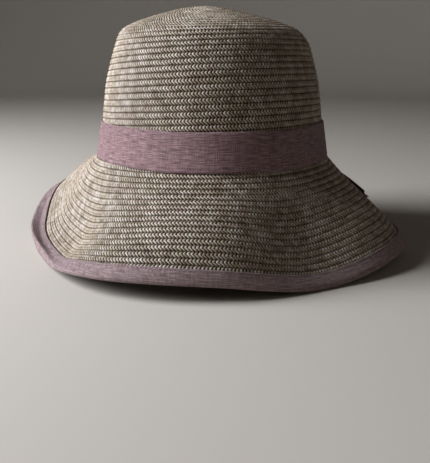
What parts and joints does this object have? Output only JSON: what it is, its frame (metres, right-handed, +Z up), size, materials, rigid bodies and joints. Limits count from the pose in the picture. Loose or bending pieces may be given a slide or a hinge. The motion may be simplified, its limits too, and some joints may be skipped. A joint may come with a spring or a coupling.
{
  "type": "woven sun hat",
  "caption": "Woven straw sun hat with a domed crown, a wavy down-turned brim with a folded cloth edge, and a ribbon knotted behind one ear.",
  "frame": {"origin": "middle of the bounding box, on the plane that the lowest places of the brim's edge rest on", "axes": "+Z up through the crown, -Y towards the front, +X to the right of someone who looks at the front"},
  "size_m": [0.2926, 0.3186, 0.1782],
  "materials": {
    "straw": "matt paper straw braid in mixed beige and brown",
    "cloth": "matt mauve linen-like cloth"
  },
  "bodies": {
    "root": {"crown": "straw", "brim": "straw", "hat_band": "cloth", "edge_binding": "cloth", "ribbon_knot": "cloth", "ribbon_tail_side": "cloth", "ribbon_tail_back": "cloth"}
  },
  "joints": []
}
